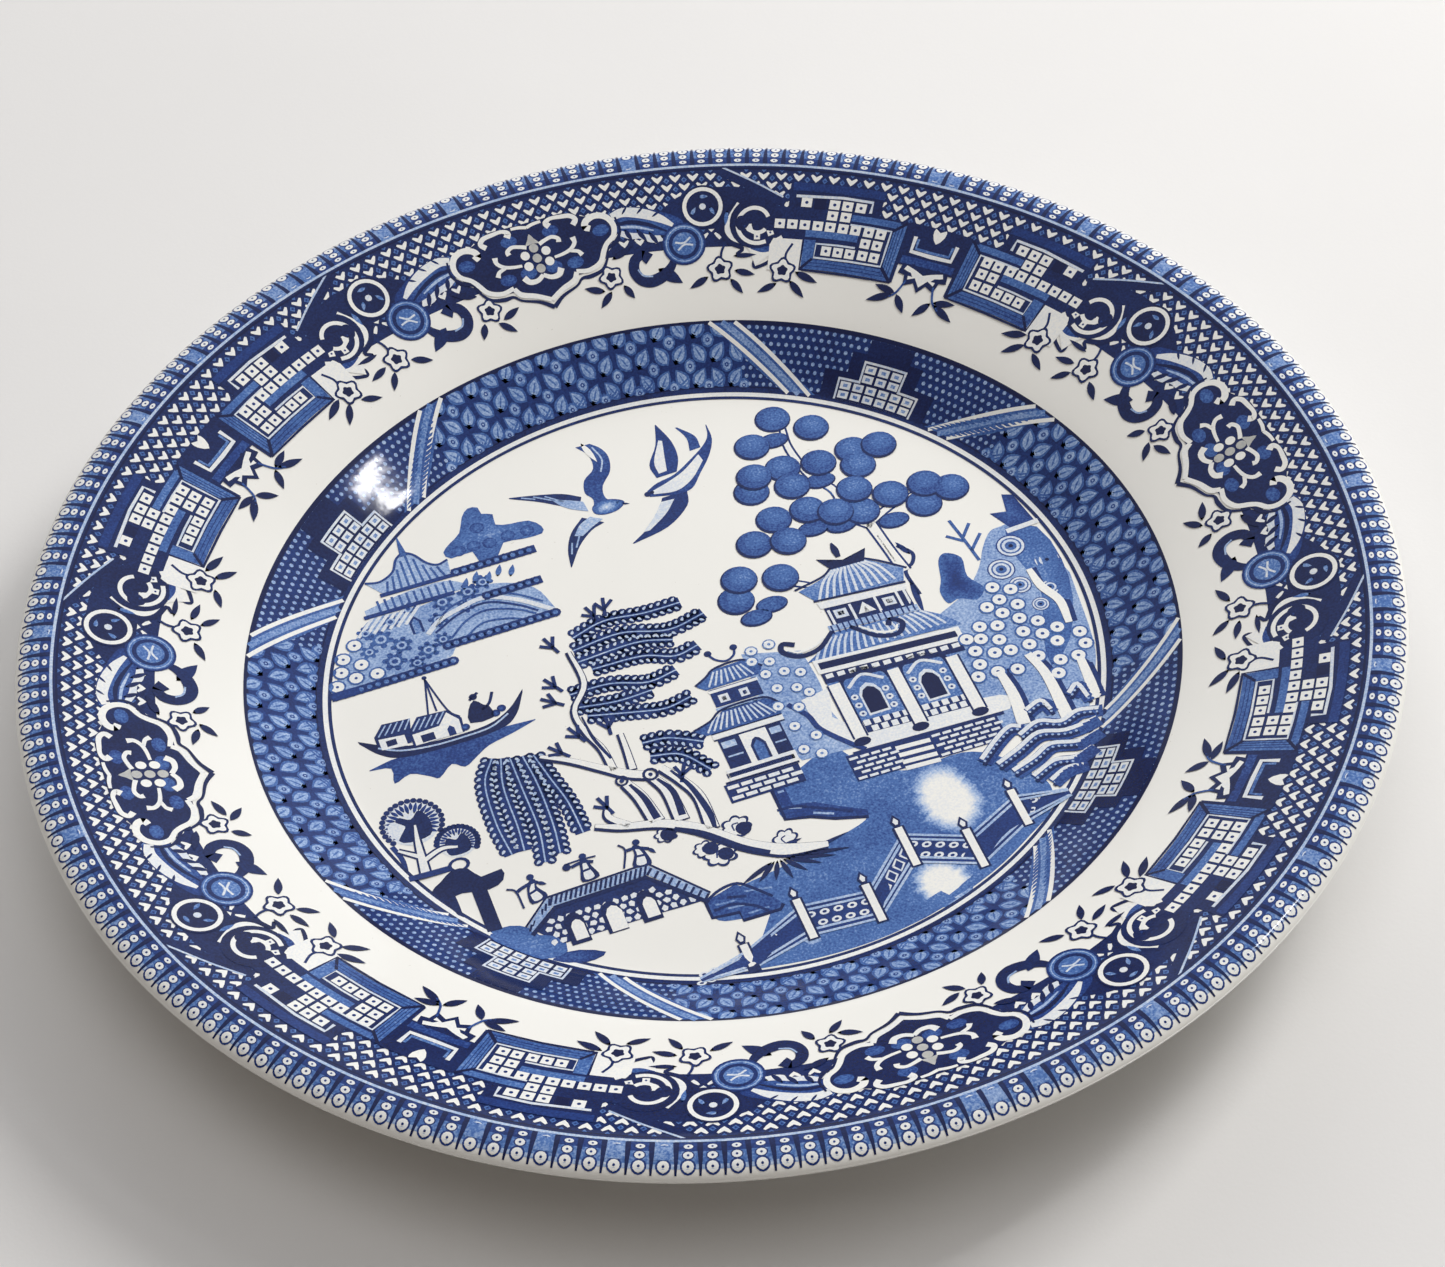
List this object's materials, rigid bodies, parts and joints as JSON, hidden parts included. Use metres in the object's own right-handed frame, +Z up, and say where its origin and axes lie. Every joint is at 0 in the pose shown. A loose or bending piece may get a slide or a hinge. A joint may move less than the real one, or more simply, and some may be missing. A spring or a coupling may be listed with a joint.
{
  "type": "china dinner plate",
  "caption": "Round rimmed dinner plate in glazed white ware with an underglaze blue landscape print, wide border, sloping well wall and foot ring.",
  "frame": {"origin": "centre of the foot ring's underside, on the table", "axes": "+Z up along the plate's axis of turning, +Y from the centre through the border cartouche above the landscape, +X to the landscape's right"},
  "size_m": [0.26, 0.26, 0.0289],
  "materials": {
    "clay": "biscuit-fired fine white clay, bare and matt",
    "cobalt_print": "underglaze cobalt blue transfer print",
    "glaze": "clear, slightly cream gloss glaze"
  },
  "bodies": {
    "root": {"plate_body": "clay", "centre_scene_print": "cobalt_print", "well_ring_print": "cobalt_print", "inner_band_print": "cobalt_print", "rim_border_print": "cobalt_print", "edge_band_print": "cobalt_print", "outer_glaze": "glaze", "base_glaze": "glaze"}
  },
  "joints": []
}
